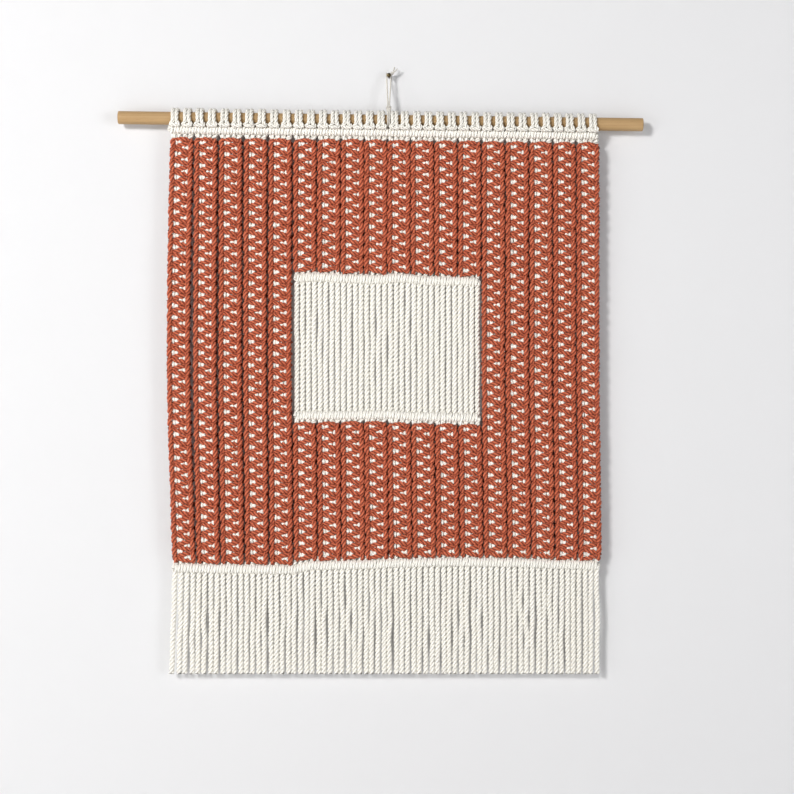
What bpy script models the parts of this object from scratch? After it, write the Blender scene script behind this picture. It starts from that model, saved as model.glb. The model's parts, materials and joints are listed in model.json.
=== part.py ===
"""Macrame wall hanging on a wooden dowel, hung by a thin cord from a nail.

Metres, +Z up.  The wall is the plane y = 0 and the hanging's face looks along -Y.  The origin is where
the nail leaves the wall.  Left and right are as seen from the front, so left is -X.
"""

import math

import bmesh
import bpy
from mathutils import Vector

# ---- Cords and gaps ------------------------------------------------------------------------------------
STRAND_SIDE = 0.0045  # a 5 mm twisted cotton cord, drawn with four flat sides
CLEARANCE = 0.0004  # left between pieces that touch
HANG_Y = -0.0135  # dowel axis and middle of the cloth, in front of the wall

# ---- Dowel ---------------------------------------------------------------------------------------------
DOWEL_LENGTH = 0.610
DOWEL_RADIUS = 0.0075
DOWEL_SIDES = 28
DOWEL_EDGE = 0.0007  # eased corner at each end
DOWEL_MIDDLE_X = -0.0096
DOWEL_DROP = 0.0537  # axis below the nail, at the dowel's middle
DOWEL_TILT = math.radians(0.78)  # right end hangs lower

# ---- Heading: lark's heads over the dowel, and the first bar -------------------------------------------
LOOPS = 36
LOOP_PITCH = 0.01393
FIRST_LOOP_X = -0.2510
LOOP_WIDTH = 0.0093  # the two strands of one lark's head
LOOP_THICKNESS = 0.0044
LOOP_INSIDE = DOWEL_RADIUS + 0.0009  # corners of the faceted loop, so its flats clear the dowel
LOOP_STEPS = 7
LOOP_LOW_ANGLE = math.radians(-40)  # where the loop leaves the dowel, below its axis
CROSS_PIECE = 0.0028  # how far the cord across each lark's head stands out in front
CROSS_WIDTH = 0.0116
LOOP_BY_CORD = 18  # the hanging cord pushes this loop (counted from 0) and the next ones to the right
LOOP_PUSH = 0.0030
LOOP_PUSH_SPREAD = 1.6  # loops over which that push dies away
HEADING_DROP = 0.0156  # bar's middle below the dowel's axis
HEADING_HEIGHT = 0.0104
HEADING_END = 0.0025  # the first bar runs on past its last lark's head
HEADING_SHOULDER = 0.20  # height where the loops leave the bar's face, as a share of its height
HEADING_UNDERSIDE = 0.60  # width of its underside, as a share of its depth

# ---- Bars ----------------------------------------------------------------------------------------------
BAR_HEIGHT = 0.0115
BAR_DEPTH = 0.0130
BAR_END = 0.0009  # each bar runs on past its last strand
END_SIZE = 0.75  # the end face of a bar, as a share of its section
RIDGE_WAIST = 0.80  # size of a bar between two ridges, as a share of its size on a ridge

# Middle line of each bar: distance along the wall, and height.
WINDOW_TOP_LINE = (
    # x, z
    (-0.114, -0.2372),
    (-0.090, -0.2349),
    (-0.055, -0.2365),
    (-0.020, -0.2380),
    (0.010, -0.2362),
    (0.045, -0.2394),
    (0.085, -0.2400),
    (0.109, -0.2415),
)
WINDOW_BOTTOM_LINE = (
    # x, z
    (-0.114, -0.3962),
    (-0.050, -0.3957),
    (-0.003, -0.3950),
    (0.030, -0.3972),
    (0.109, -0.3988),
)
FRINGE_LINE = (
    # x, z
    (-0.254, -0.5728),
    (-0.200, -0.5738),
    (-0.115, -0.5748),
    (-0.090, -0.5700),
    (-0.030, -0.5690),
    (0.010, -0.5672),
    (0.080, -0.5660),
    (0.140, -0.5668),
    (0.200, -0.5688),
    (0.249, -0.5700),
)

# ---- Sennits: the columns of square knots --------------------------------------------------------------
SENNITS = 18
SENNIT_PITCH = 0.02784
FIRST_SENNIT_X = -0.2417
SENNIT_WIDTH = 0.0258  # over the side bumps
SENNIT_DEPTH = 0.0165
SENNIT_WAIST_WIDTH = 0.0220
SENNIT_WAIST_DEPTH = 0.0118
FILLER_WIDTH = 0.0176  # the cream strands where they enter the first and last knot
FILLER_DEPTH = 0.0090
KNOT_PITCH = 0.0135
CROWD_SHIFT = 0.0040  # the columns left of the middle stand a little to the right
CROWD_SENNIT = 5.6
CROWD_SPREAD = 3.3
BOTTOM_DRIFT = 0.0024  # the columns' lower ends drift to the right
BOTTOM_DRIFT_START = 0.5  # share of the way down where that drift starts
EDGE_BOW = 0.0040  # the left edge bows outwards half-way down
EDGE_BOW_SPREAD = 1.1  # columns over which that bow dies away
FIRST_WINDOW_SENNIT = 5
LAST_WINDOW_SENNIT = 12

# ---- Window strands and fringe -------------------------------------------------------------------------
WINDOW_STRANDS = 32
WINDOW_FIRST_X = -0.1086
WINDOW_LAST_X = 0.1022
FRINGE_STRANDS = 72
FRINGE_FIRST_X = -0.2500
FRINGE_LAST_X = 0.2425
FRINGE_LEAN = -0.0042  # the leftmost strands' ends swing out to the left
FRINGE_LEAN_SPREAD = 3.5  # strands over which that swing dies away
FRINGE_STRAY = 0.0006  # how far an end strays from even spacing
FRINGE_STRAY_WAVES = ((2.4, 1.0), (0.9, 0.5))  # turn for each strand, share of the stray
FRINGE_END_Z = -0.6962
NECK = 0.0035  # over which a strand narrows below or above its bar

# ---- Nail ----------------------------------------------------------------------------------------------
NAIL_SIDES = 14
NAIL_PROFILE = (
    # distance from the wall, radius
    (0.0000, 0.0012),
    (0.0122, 0.0012),
    (0.0126, 0.0024),
    (0.0134, 0.0025),
    (0.0141, 0.0016),
)

# ---- Hanging cord --------------------------------------------------------------------------------------
THIN_RADIUS = 0.00095
THIN_SIDES = 6
THIN_OFFSET = 0.0012  # each of the two strands from their common middle, on the dowel
THIN_MIDDLE_X = -0.0030  # where the cord passes round the dowel
THIN_NAIL_Y = -0.0085  # where it hangs on the nail
THIN_TURN_ANGLES = range(35, -236, -30)  # degrees round the dowel, from its upper front to its upper back
HITCH_RISE = 0.0152  # the hitch above the dowel's axis
HITCH_Y = -0.0185
HITCH_STRAIGHT = 0.0060  # each strand runs straight down into the hitch
HITCH_TURN = (
    # right, back and up from the strand, counted in widths of the cord
    (0.33, 1.20, -1.00),
    (1.00, 0.00, 0.00),
    (0.50, -1.00, 0.25),
)
KNOT_AT = Vector((0.0041, THIN_NAIL_Y - 0.0008, 0.0029))
KNOT_RADIUS = 0.0023
FREE_ENDS = (
    # end point of each short tail, from the knot
    Vector((0.0058, -0.0012, 0.0050)),
    Vector((0.0024, 0.0006, 0.0070)),
)
FREE_END_BEND = Vector((0.0004, -0.0004, -0.0004))

# ---- Colours (0 to 255, as seen on a screen) -----------------------------------------------------------
RUST = (196, 84, 50)
CREAM = (240, 234, 220)
BEECH = (205, 172, 122)
OFF_WHITE = (226, 222, 208)
BRONZE = (92, 74, 54)


def clear_scene():
    for thing in list(bpy.data.objects):
        bpy.data.objects.remove(thing, do_unlink=True)


def linear(level):
    share = level / 255
    return share / 12.92 if share <= 0.04045 else ((share + 0.055) / 1.055) ** 2.4


def finish(name, colour, roughness, metallic=0.0):
    material = bpy.data.materials.new(name)
    material.use_nodes = True
    shader = material.node_tree.nodes["Principled BSDF"]
    shader.inputs["Base Color"].default_value = (*map(linear, colour), 1)
    shader.inputs["Roughness"].default_value = roughness
    shader.inputs["Metallic"].default_value = metallic
    return material


def add_object(name, bm, material, parent, location=(0, 0, 0)):
    """Turn a closed mesh into a named object, with its faces pointing out."""
    bmesh.ops.recalc_face_normals(bm, faces=bm.faces)
    mesh = bpy.data.meshes.new(name)
    bm.to_mesh(mesh)
    bm.free()
    mesh.materials.append(material)
    piece = bpy.data.objects.new(name, mesh)
    bpy.context.collection.objects.link(piece)
    piece.location = location
    piece.parent = parent
    return piece


def smooth(piece, angle=40):
    piece.data.shade_smooth()
    piece.data.set_sharp_from_angle(angle=math.radians(angle))


# ---- Lines that the cloth follows ----------------------------------------------------------------------


def ease(share):
    """0 to 1 with a soft start and a soft end."""
    share = min(max(share, 0), 1)
    return share * share * (3 - 2 * share)


def line_height(line, x):
    """Height of a bar's middle line at x, soft between the rows of its table."""
    if x <= line[0][0]:
        return line[0][1]
    for (x0, z0), (x1, z1) in zip(line, line[1:]):
        if x <= x1:
            return z0 + (z1 - z0) * ease((x - x0) / (x1 - x0))
    return line[-1][1]


def dowel_height(x):
    return -DOWEL_DROP - math.tan(DOWEL_TILT) * (x - DOWEL_MIDDLE_X)


def heading_height(x):
    return dowel_height(x) - HEADING_DROP


def window_top_height(x):
    return line_height(WINDOW_TOP_LINE, x)


def window_bottom_height(x):
    return line_height(WINDOW_BOTTOM_LINE, x)


def fringe_height(x):
    return line_height(FRINGE_LINE, x)


def crowding(sennit):
    return CROWD_SHIFT * math.exp(-(((sennit - CROWD_SENNIT) / CROWD_SPREAD) ** 2))


def loop_x(loop):
    """Middle of a lark's head: two to a column, and pushed aside next to the hanging cord."""
    beyond = loop - LOOP_BY_CORD
    push = LOOP_PUSH * math.exp(-beyond / LOOP_PUSH_SPREAD) if beyond >= 0 else 0
    return FIRST_LOOP_X + loop * LOOP_PITCH + crowding((loop - 0.5) / 2) + push


def sennit_x(sennit, z):
    """Middle of a column at a height: even spacing, with the crowding, drift and bow of the real cloth."""
    top, bottom = heading_height(0), fringe_height(0)
    down = min(max((top - z) / (top - bottom), 0), 1)
    drift = BOTTOM_DRIFT * ease((down - BOTTOM_DRIFT_START) / (1 - BOTTOM_DRIFT_START))
    bow = -EDGE_BOW * math.sin(math.pi * down) * math.exp(-sennit / EDGE_BOW_SPREAD)
    return FIRST_SENNIT_X + sennit * SENNIT_PITCH + crowding(sennit) * (1 - down / 2) + drift + bow


# ---- Skins ---------------------------------------------------------------------------------------------


def new_ring(bm, points):
    return [bm.verts.new(point) for point in points]


def join_rings(bm, first, second, skip=()):
    """Quads between two rings with the same number of points."""
    count = len(first)
    for side in range(count):
        after = (side + 1) % count
        if side not in skip:
            bm.faces.new((first[side], first[after], second[after], second[side]))


def close_ring(bm, ring):
    bm.faces.new(ring)


def grow(bm, root, rings, end=None):
    """Grow a strand from the edge of an open face, and close it or join it to another open face."""
    last = root
    for points in rings:
        ring = new_ring(bm, points)
        join_rings(bm, last, ring)
        last = ring
    if end is None:
        close_ring(bm, last)
    else:
        join_rings(bm, last, end)


def root_of(first, second, side):
    """The four points round one open face of a bar, between two of its rings."""
    after = (side + 1) % len(first)
    return [first[side], second[side], second[after], first[after]]


def tube(bm, path, radius, sides, closed=False):
    """A round tube along a path, with flat ends unless the path is closed."""
    rings = []
    count = len(path)
    normal = Vector((0, 1, 0))
    for step, point in enumerate(path):
        before = path[step - 1] if step or closed else point
        after = path[(step + 1) % count] if step < count - 1 or closed else point
        along = (after - before).normalized()
        normal = (normal - along * normal.dot(along)).normalized()
        across = along.cross(normal)
        turns = [2 * math.pi * side / sides for side in range(sides)]
        rings.append(
            new_ring(bm, [point + radius * (math.cos(t) * normal + math.sin(t) * across) for t in turns])
        )
    for first, second in zip(rings, rings[1:]):
        join_rings(bm, first, second)
    if closed:
        join_rings(bm, rings[-1], nearest_turn(rings[-1], rings[0]))
    else:
        close_ring(bm, rings[0])
        close_ring(bm, rings[-1])


def nearest_turn(ring, other):
    """The other ring, started at the point that lies nearest the first point of this one."""
    start = min(range(len(other)), key=lambda at: (other[at].co - ring[0].co).length)
    return other[start:] + other[:start]


# ---- Bars ----------------------------------------------------------------------------------------------


def bar_section(scale, roots_above):
    """Five corners of a bar, seen from its end; strands grow from the edge between the last and the first."""
    flip = -1 if roots_above else 1
    half_root = STRAND_SIDE / 2
    corners = (
        (-half_root, -BAR_HEIGHT / 2),
        (-BAR_DEPTH / 2 * scale, 0),
        (0, BAR_HEIGHT / 2 * scale),
        (BAR_DEPTH / 2 * scale, 0),
        (half_root, -BAR_HEIGHT / 2),
    )
    return [(y, z * flip) for y, z in corners]


BAR_ROOT_SIDE = 4  # the section's open side, between its last corner and its first


def close_bar(bm, ring, x, section, height):
    """Draw a bar's end in to a smaller section at x, and close it."""
    end = new_ring(bm, [(x, HANG_Y + y * END_SIZE, height(x) + z * END_SIZE) for y, z in section])
    join_rings(bm, ring, end)
    close_ring(bm, end)


def ridged_bar(bm, edges, height, roots_above=False):
    """A bar of hitches: a ridge at every second strand, and an open face under (or over) each strand."""
    rings = []
    for step, x in enumerate(edges):
        section = bar_section(1 if step % 2 else RIDGE_WAIST, roots_above)
        rings.append(new_ring(bm, [(x, HANG_Y + y, height(x) + z) for y, z in section]))
    for first, second in zip(rings, rings[1:]):
        join_rings(bm, first, second, skip=(BAR_ROOT_SIDE,))
    for ring, out in ((rings[0], -BAR_END), (rings[-1], BAR_END)):
        close_bar(bm, ring, ring[0].co.x + out, bar_section(RIDGE_WAIST, roots_above), height)
    return [root_of(first, second, BAR_ROOT_SIDE) for first, second in zip(rings, rings[1:])]


def square_at(x, z, side=STRAND_SIDE):
    """Corners of a strand in the order of a bar's open face, from back left to front left."""
    half = side / 2
    return [
        (x - half, HANG_Y + half, z),
        (x + half, HANG_Y + half, z),
        (x + half, HANG_Y - half, z),
        (x - half, HANG_Y - half, z),
    ]


def strand_edges(first, last, strands):
    """Where each strand's share of the bar starts and ends."""
    pitch = (last - first) / (strands - 1)
    return [first - pitch / 2 + pitch * step for step in range(strands + 1)]


# ---- Pieces --------------------------------------------------------------------------------------------


def make_dowel(parent, material):
    bpy.ops.mesh.primitive_cylinder_add(
        vertices=DOWEL_SIDES,
        radius=DOWEL_RADIUS,
        depth=DOWEL_LENGTH,
        location=(DOWEL_MIDDLE_X, HANG_Y, -DOWEL_DROP),
        rotation=(0, math.pi / 2 + DOWEL_TILT, 0),
    )
    dowel = bpy.context.object
    dowel.name = "dowel"
    dowel.data.name = "dowel"
    dowel.parent = parent
    dowel.data.materials.append(material)
    smooth(dowel)
    edge = dowel.modifiers.new("eased_ends", "BEVEL")
    edge.width = DOWEL_EDGE
    edge.segments = 1
    edge.limit_method = "ANGLE"
    edge.angle_limit = math.radians(60)


def make_nail(parent, material):
    """A round-headed nail, straight out of the wall; its back end is a flat disc in the wall's plane."""
    bm = bmesh.new()
    rings = []
    for out, radius in NAIL_PROFILE:
        turns = [2 * math.pi * side / NAIL_SIDES for side in range(NAIL_SIDES)]
        rings.append(new_ring(bm, [(radius * math.cos(t), -out, radius * math.sin(t)) for t in turns]))
    for first, second in zip(rings, rings[1:]):
        join_rings(bm, first, second)
    close_ring(bm, rings[0])
    close_ring(bm, rings[-1])
    smooth(add_object("wall_nail", bm, material, parent))


def thin_cord_path():
    """One side of the hanging cord: over the nail, down, round the dowel and back across the hitch."""
    over = THIN_RADIUS + NAIL_PROFILE[0][1] + CLEARANCE
    around = THIN_RADIUS + DOWEL_RADIUS + CLEARANCE
    beside = THIN_RADIUS * 2 + CLEARANCE
    dowel_z = dowel_height(THIN_MIDDLE_X)
    hitch_z = dowel_z + HITCH_RISE
    strand_x = THIN_MIDDLE_X + THIN_OFFSET
    path = [(over * math.sin(a), THIN_NAIL_Y, over * math.cos(a)) for a in (0, math.pi / 4, math.pi / 2)]
    path.append((strand_x, HITCH_Y, hitch_z + HITCH_STRAIGHT))
    path.append((strand_x, HITCH_Y, hitch_z - HITCH_STRAIGHT / 2))
    for degrees in THIN_TURN_ANGLES:
        turn = math.radians(degrees)
        path.append((strand_x, HANG_Y - around * math.cos(turn), dowel_z + around * math.sin(turn)))
    for right, back, up in HITCH_TURN:
        path.append((strand_x + right * beside, HITCH_Y + back * beside, hitch_z + up * beside))
    return [Vector(point) for point in path]


def make_hanging_cord(parent, material):
    """A loop over the nail, hitched round the dowel, with the knot and short free ends beside the nail."""
    right = thin_cord_path()
    nail_points = 3
    left_over_nail = [Vector((-p.x, p.y, p.z)) for p in right[1:nail_points]]
    left = left_over_nail + [Vector((2 * THIN_MIDDLE_X - p.x, p.y, p.z)) for p in right[nail_points:]]
    path = right + left[::-1]
    bm = bmesh.new()
    tube(bm, path, THIN_RADIUS, THIN_SIDES, closed=True)
    cord = add_object("hanging_cord", bm, material, parent)
    smooth(cord, 60)

    bm = bmesh.new()
    bmesh.ops.create_icosphere(bm, subdivisions=1, radius=KNOT_RADIUS)
    join_to(cord, add_object("cord_knot", bm, material, parent, KNOT_AT))
    for number, end in enumerate(FREE_ENDS):
        bm = bmesh.new()
        tube(bm, [end * 0.1, end * 0.5 + FREE_END_BEND, end], THIN_RADIUS * 0.9, THIN_SIDES)
        join_to(cord, add_object(f"cord_end_{number}", bm, material, parent, KNOT_AT))


def join_to(piece, added):
    """Fuse a second shape into a piece; the shape itself stays hidden."""
    added.hide_render = True
    added.display_type = "WIRE"
    join = piece.modifiers.new("join_" + added.name, "BOOLEAN")
    join.operation = "UNION"
    join.solver = "MANIFOLD"
    join.object = added


def loop_rings(x):
    """Sections of one lark's head, from the bar up the front of the dowel, over it and down its back."""
    half = LOOP_WIDTH / 2
    dowel_z = dowel_height(x)
    rings = []
    sweep = math.pi - 2 * LOOP_LOW_ANGLE
    for step in range(LOOP_STEPS + 1):
        angle = LOOP_LOW_ANGLE + sweep * step / LOOP_STEPS
        forward, up = -math.cos(angle), math.sin(angle)
        inner, outer, half_outer = LOOP_INSIDE, LOOP_INSIDE + LOOP_THICKNESS, half
        if step == 0:
            outer += CROSS_PIECE
            half_outer = CROSS_WIDTH / 2
        rings.append(
            [
                (x - half_outer, HANG_Y + forward * outer, dowel_z + up * outer),
                (x + half_outer, HANG_Y + forward * outer, dowel_z + up * outer),
                (x + half, HANG_Y + forward * inner, dowel_z + up * inner),
                (x - half, HANG_Y + forward * inner, dowel_z + up * inner),
            ]
        )
    return rings


def make_heading(parent, material):
    """Thirty-six lark's heads round the dowel, fused at the first bar of hitches."""
    height, depth = HEADING_HEIGHT, BAR_DEPTH
    inner = depth / 2 - LOOP_THICKNESS
    corners = (
        (-depth / 2, height * HEADING_SHOULDER),
        (-inner, height / 2),
        (inner, height / 2),
        (depth / 2, height * HEADING_SHOULDER),
        (depth * HEADING_UNDERSIDE / 2, -height / 2),
        (-depth * HEADING_UNDERSIDE / 2, -height / 2),
    )
    front_side, back_side = 0, 2
    bm = bmesh.new()
    rings = []
    for loop in range(LOOPS):
        for edge in (-0.5, 0.5):
            x = loop_x(loop) + edge * LOOP_WIDTH
            rings.append(new_ring(bm, [(x, HANG_Y + y, heading_height(x) + z) for y, z in corners]))
    for step, (first, second) in enumerate(zip(rings, rings[1:])):
        under_loop = step % 2 == 0
        if under_loop:
            join_rings(bm, first, second, skip=(front_side, back_side))
            front = root_of(first, second, front_side)
            back = root_of(first, second, back_side)
            grow(bm, front, loop_rings(loop_x(step // 2)), end=back[::-1])
        else:
            x = (first[0].co.x + second[0].co.x) / 2
            waist = [(y * RIDGE_WAIST, z * RIDGE_WAIST) for y, z in corners]
            middle = new_ring(bm, [(x, HANG_Y + y, heading_height(x) + z) for y, z in waist])
            join_rings(bm, first, middle)
            join_rings(bm, middle, second)
    for ring, out in ((rings[0], -HEADING_END), (rings[-1], HEADING_END)):
        close_bar(bm, ring, ring[0].co.x + out, corners, heading_height)
    add_object("heading", bm, material, parent)


def sennit_ring(x, z, swell, width, depth):
    """Corners of a column on a knot's bumps (left, front, right, back), or between two knots."""
    if swell:
        return [(x - width / 2, 0, z), (x, -depth / 2, z), (x + width / 2, 0, z), (x, depth / 2, z)]
    corners = ((-1, -1), (1, -1), (1, 1), (-1, 1))
    return [(x + across * width / 2, inward * depth / 2, z) for across, inward in corners]


def heights_over(bar, x):
    """Heights of a bar's middle line over the width of a column's end."""
    return [bar(x + FILLER_WIDTH * share) for share in (-0.5, -0.25, 0, 0.25, 0.5)]


def make_sennit(name, number, bar_above, reach_above, bar_below, parent, material):
    """A column of square knots from one bar to the next: it swells at each knot and draws in between."""
    top = min(heights_over(bar_above, sennit_x(number, bar_above(0)))) - reach_above - CLEARANCE
    bottom = max(heights_over(bar_below, sennit_x(number, bar_below(0)))) + BAR_HEIGHT / 2 + CLEARANCE
    knots = round((top - bottom) / KNOT_PITCH)
    bm = bmesh.new()
    rings = []
    for step in range(2 * knots + 1):
        z = top + (bottom - top) * step / (2 * knots)
        swell = step % 2 == 1
        width, depth = (SENNIT_WIDTH, SENNIT_DEPTH) if swell else (SENNIT_WAIST_WIDTH, SENNIT_WAIST_DEPTH)
        if step in (0, 2 * knots):
            width, depth = FILLER_WIDTH, FILLER_DEPTH
        rings.append(new_ring(bm, sennit_ring(sennit_x(number, z), z, swell, width, depth)))
    for step, (first, second) in enumerate(zip(rings, rings[1:])):
        corners, bumps = (first, second) if step % 2 == 0 else (second, first)
        for side in range(4):
            after = (side + 1) % 4
            bm.faces.new((bumps[side], bumps[after], corners[side]))
            bm.faces.new((corners[side], bumps[after], corners[after]))
    close_ring(bm, rings[0])
    close_ring(bm, rings[-1])
    add_object(name, bm, material, parent, (0, HANG_Y, 0))


def make_sennits(parent, material):
    heading = (heading_height, HEADING_HEIGHT / 2)
    window_top = window_top_height
    window_bottom = (window_bottom_height, BAR_HEIGHT / 2)
    for number in range(SENNITS):
        label = f"{number + 1:02d}"
        if FIRST_WINDOW_SENNIT <= number <= LAST_WINDOW_SENNIT:
            make_sennit("sennit_upper_" + label, number, *heading, window_top, parent, material)
            make_sennit("sennit_lower_" + label, number, *window_bottom, fringe_height, parent, material)
        else:
            make_sennit("sennit_" + label, number, *heading, fringe_height, parent, material)


def make_window(parent, material):
    """The open panel: two bars and the bare strands between them."""
    bm = bmesh.new()
    edges = strand_edges(WINDOW_FIRST_X, WINDOW_LAST_X, WINDOW_STRANDS)
    upper = ridged_bar(bm, edges, window_top_height)
    lower = ridged_bar(bm, edges, window_bottom_height, roots_above=True)
    for number, (root, end) in enumerate(zip(upper, lower)):
        x = (edges[number] + edges[number + 1]) / 2
        top = window_top_height(x) - BAR_HEIGHT / 2 - NECK
        bottom = window_bottom_height(x) + BAR_HEIGHT / 2 + NECK
        grow(bm, root, [square_at(x, top), square_at(x, bottom)], end=end)
    add_object("window", bm, material, parent)


def fringe_end_x(number, x):
    """Where a fringe strand's cut end hangs: nearly under its root, with the real fringe's small strays."""
    lean = FRINGE_LEAN * math.exp(-number / FRINGE_LEAN_SPREAD)
    stray = FRINGE_STRAY * sum(share * math.sin(number * turn) for turn, share in FRINGE_STRAY_WAVES)
    return x + lean + stray


def make_fringe(parent, material):
    """The last bar and the strands that hang from it, cut level."""
    bm = bmesh.new()
    edges = strand_edges(FRINGE_FIRST_X, FRINGE_LAST_X, FRINGE_STRANDS)
    for number, root in enumerate(ridged_bar(bm, edges, fringe_height)):
        x = (edges[number] + edges[number + 1]) / 2
        top = fringe_height(x) - BAR_HEIGHT / 2 - NECK
        grow(bm, root, [square_at(x, top), square_at(fringe_end_x(number, x), FRINGE_END_Z)])
    add_object("fringe", bm, material, parent)


def main():
    clear_scene()
    rust = finish("rust_cotton", RUST, 0.9)
    cream = finish("cream_cotton", CREAM, 0.9)
    hanging = bpy.data.objects.new("hanging", None)
    bpy.context.collection.objects.link(hanging)
    make_dowel(hanging, finish("beech", BEECH, 0.55))
    make_nail(hanging, finish("bronze", BRONZE, 0.4, metallic=1.0))
    make_hanging_cord(hanging, finish("thin_cotton", OFF_WHITE, 0.9))
    make_heading(hanging, cream)
    make_sennits(hanging, rust)
    make_window(hanging, cream)
    make_fringe(hanging, cream)


main()
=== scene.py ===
"""Looks of the macrame wall hanging: twisted cotton cords, knots, hitches, dowel, nail and hanging cord.

Metres, +Z up.  The nail starts at y = 0 and the hanging's face looks along -Y.  In the tables of
knots, "forward" is the distance towards the viewer from the middle of the cloth.
"""

import json
import math

import bpy
import numpy as np
from bpy.props import FloatProperty, FloatVectorProperty, IntProperty, PointerProperty
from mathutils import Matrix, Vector


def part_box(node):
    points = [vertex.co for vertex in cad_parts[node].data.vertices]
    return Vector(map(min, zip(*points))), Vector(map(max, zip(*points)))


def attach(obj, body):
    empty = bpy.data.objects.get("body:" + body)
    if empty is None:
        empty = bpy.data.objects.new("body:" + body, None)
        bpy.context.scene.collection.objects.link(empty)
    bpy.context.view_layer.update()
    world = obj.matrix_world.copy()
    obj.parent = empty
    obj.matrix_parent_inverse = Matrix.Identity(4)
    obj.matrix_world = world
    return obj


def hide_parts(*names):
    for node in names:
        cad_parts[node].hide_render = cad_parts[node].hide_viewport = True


bl_info = {
    "name": "Macrame wall hanging",
    "version": (1, 0, 0),
    "blender": (4, 5, 0),
    "location": "3D View > Sidebar > Hanging",
    "description": "Builds the cords, knots, wood and stage of a macrame wall hanging round its solids",
    "category": "Object",
}

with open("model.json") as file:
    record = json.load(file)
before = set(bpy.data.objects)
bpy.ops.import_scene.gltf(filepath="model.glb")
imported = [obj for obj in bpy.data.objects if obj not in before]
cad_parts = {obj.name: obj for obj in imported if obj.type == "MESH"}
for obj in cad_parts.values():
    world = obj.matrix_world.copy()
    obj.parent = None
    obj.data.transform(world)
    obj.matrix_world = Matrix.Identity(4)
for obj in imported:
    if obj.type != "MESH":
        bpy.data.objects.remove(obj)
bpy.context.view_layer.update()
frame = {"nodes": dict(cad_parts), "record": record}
NODES = frame["nodes"]

# ---- Places read from the solids -----------------------------------------------------------------------

SAME_CORNER = 0.0002  # corners that are closer than this mark the same place
SAME_RING = 0.0005  # and so do rings of corners


def corners_of(node):
    """Every point of a solid, one row each."""
    return np.array([vertex.co for vertex in NODES[node].data.vertices])


def first_of_each(values, gap):
    """Marks each of some sorted values that lies more than a gap past the one before."""
    return np.concatenate([[True], np.diff(values) > gap])


def middles(values, each):
    """Means of neighbouring groups in a list of repeated positions, such as a strand's two sides."""
    places = np.unique(np.round(values, 4))
    return places[first_of_each(places, SAME_CORNER)].reshape(-1, each).mean(axis=1)


MOUNTS = {mount["name"]: mount for mount in frame["record"]["mounts"]}
DOWEL_LEFT = np.array(MOUNTS["dowel_left_end"]["pos_m"])
DOWEL_RIGHT = np.array(MOUNTS["dowel_right_end"]["pos_m"])
HANG_Y = DOWEL_LEFT[1]
DOWEL_RADIUS = (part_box("dowel")[1].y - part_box("dowel")[0].y) / 2


def dowel_height(x):
    return np.interp(x, [DOWEL_LEFT[0], DOWEL_RIGHT[0]], [DOWEL_LEFT[2], DOWEL_RIGHT[2]])


# ---- Tables of the knots -------------------------------------------------------------------------------
# A square knot is two halves, and so two bars across the front.  "Down" is counted in whole knots.
# The cord that crosses the front of a column: a bar to the right.  The bar back to the left is its
# reflection, below it.
FRONT_CORD = (
    # across, forward, down, radius
    (-0.0126, -0.0012, 0.000, 0.00260),
    (-0.0118, -0.0004, 0.050, 0.00250),
    (-0.0100, 0.0026, 0.105, 0.00220),
    (-0.0068, 0.0040, 0.128, 0.00235),
    (-0.0034, 0.0048, 0.174, 0.00285),
    (0.0000, 0.0052, 0.236, 0.00345),
    (0.0034, 0.0050, 0.288, 0.00335),
    (0.0068, 0.0042, 0.336, 0.00270),
    (0.0100, 0.0026, 0.366, 0.00225),
    (0.0118, -0.0004, 0.450, 0.00250),
    (0.0126, -0.0012, 0.500, 0.00260),
)
BAR_ROWS = len(FRONT_CORD) - 1
# The first bar of a column starts behind it and arches up against the hitches.
FIRST_BAR = (
    # across, forward, down, radius
    (0.0000, -0.0046, 0.240, 0.00220),
    (-0.0075, -0.0040, 0.260, 0.00220),
    (-0.0102, 0.0004, 0.320, 0.00210),
    (-0.0094, 0.0032, 0.320, 0.00225),
    (-0.0064, 0.0044, 0.285, 0.00265),
    (-0.0030, 0.0051, 0.265, 0.00300),
    (0.0000, 0.0053, 0.262, 0.00315),
    (0.0034, 0.0050, 0.280, 0.00310),
    (0.0066, 0.0043, 0.318, 0.00280),
    (0.0096, 0.0026, 0.370, 0.00225),
)
# The cord that passes behind: half a knot, down one side in front of the other cord's turns and across
# the back.  The next half is the same, with left and right changed.
BACK_CORD = (
    # outward, forward, down, radius
    (0.0090, -0.0005, 0.025, 0.00235),
    (0.0096, 0.0034, 0.050, 0.00255),
    (0.0103, 0.0055, 0.170, 0.00300),
    (0.0107, 0.0062, 0.350, 0.00325),
    (0.0108, 0.0063, 0.500, 0.00330),
    (0.0107, 0.0062, 0.650, 0.00325),
    (0.0103, 0.0055, 0.830, 0.00300),
    (0.0096, 0.0034, 0.950, 0.00255),
    (0.0090, -0.0005, 0.975, 0.00235),
    (0.0072, -0.0040, 0.900, 0.00230),
    (0.0000, -0.0046, 0.745, 0.00245),
    (-0.0072, -0.0040, 0.600, 0.00230),
)
BACK_CORD_START = 4  # row of BACK_CORD where the cord comes in at a column's top
BACK_CORD_LAST = 3  # rows of BACK_CORD that are left at its bottom
FIRST_BAR_SPACE = 0.48  # knots that a column's first bar takes; each further one takes half a knot
SHOULDER = 0.24  # knots from a column's top to where its sides start
SHOULDER_WIDTH = 0.86  # of the full width
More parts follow.
